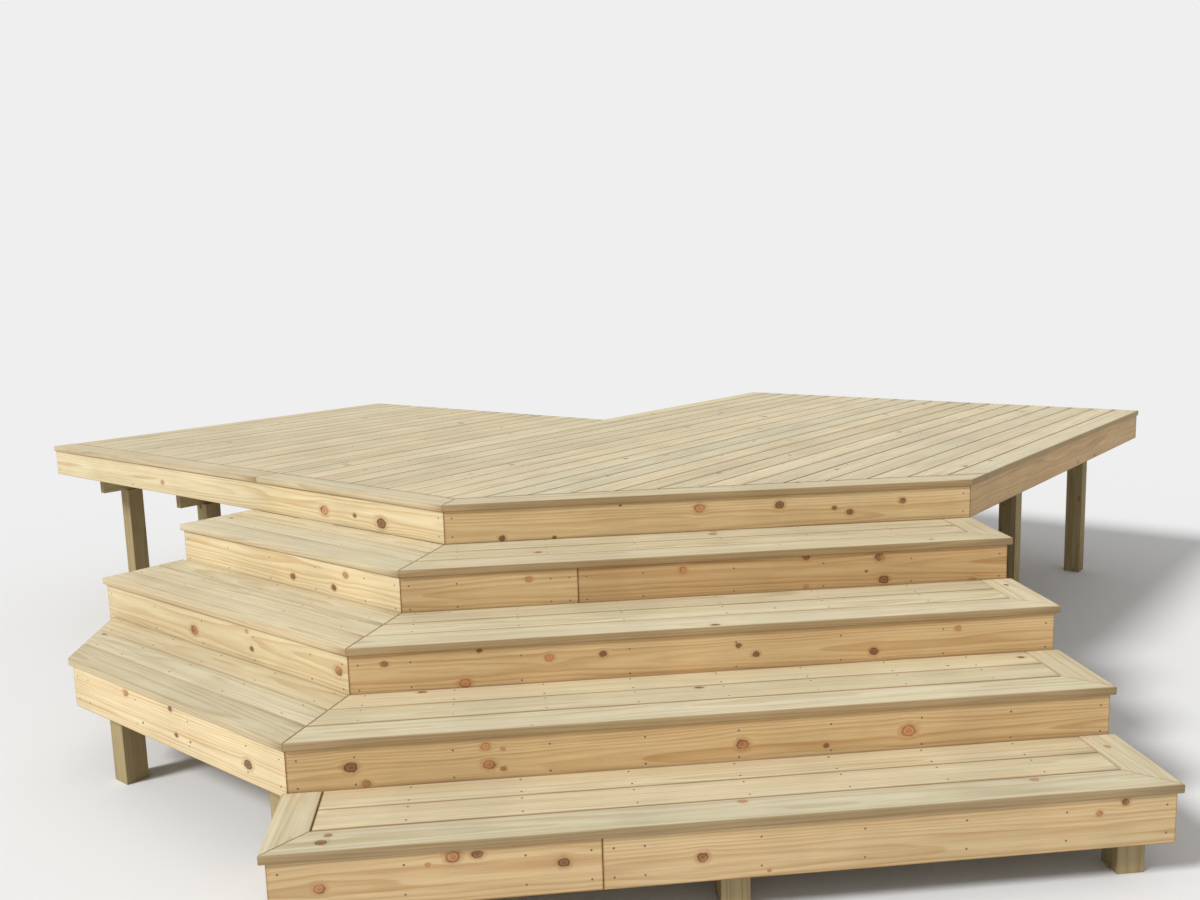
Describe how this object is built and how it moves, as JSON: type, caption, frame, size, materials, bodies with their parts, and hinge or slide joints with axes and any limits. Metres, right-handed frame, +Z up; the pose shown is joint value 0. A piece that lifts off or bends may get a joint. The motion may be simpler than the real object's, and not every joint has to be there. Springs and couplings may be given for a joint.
{
  "type": "timber deck stairs",
  "caption": "Wide timber box steps that climb to the corner of a raised deck and turn along its left edge, with mitred boards, risers, joists and posts.",
  "frame": {"origin": "centre of the foot of the bottom step's left front post, on the ground", "axes": "+X along the flight's front edges to the right, +Y up the stairs towards the deck and the wall, +Z up"},
  "size_m": [7.271, 6.2942, 1.09],
  "materials": {
    "tread_timber": "sawn and dressed, pale greenish treated pine, matt",
    "riser_timber": "dressed, warm pine with brown knots, matt",
    "joist_timber": "rough sawn treated pine, matt",
    "post_timber": "rough sawn treated pine, matt"
  },
  "bodies": {
    "root": {"step_1_boards": "tread_timber", "step_1_end_boards": "tread_timber", "step_1_riser": "riser_timber", "step_1_end_panels": "riser_timber", "step_1_joists": "joist_timber", "step_1_cross_joists": "joist_timber", "step_1_posts": "post_timber", "step_2_boards": "tread_timber", "step_2_wing_boards": "tread_timber", "step_2_end_board": "tread_timber", "step_2_riser": "riser_timber", "step_2_wing_riser": "riser_timber", "step_2_end_panels": "riser_timber", "step_2_joists": "joist_timber", "step_2_cross_joists": "joist_timber", "step_2_posts": "post_timber", "step_3_boards": "tread_timber", "step_3_wing_boards": "tread_timber", "step_3_end_board": "tread_timber", "step_3_riser": "riser_timber", "step_3_wing_riser": "riser_timber", "step_3_end_panels": "riser_timber", "step_3_joists": "joist_timber", "step_3_cross_joists": "joist_timber", "step_3_posts": "post_timber", "step_4_boards": "tread_timber", "step_4_wing_boards": "tread_timber", "step_4_end_board": "tread_timber", "step_4_riser": "riser_timber", "step_4_wing_riser": "riser_timber", "step_4_end_panels": "riser_timber", "step_4_joists": "joist_timber", "step_4_cross_joists": "joist_timber", "step_4_posts": "post_timber", "deck_boards": "tread_timber", "deck_border": "tread_timber", "deck_fascia": "riser_timber", "deck_rims": "joist_timber", "deck_joists": "joist_timber", "deck_bearers": "joist_timber", "deck_posts": "post_timber", "deck_front_posts": "post_timber", "deck_left_ledger": "joist_timber", "deck_right_ledger": "joist_timber"}
  },
  "joints": []
}
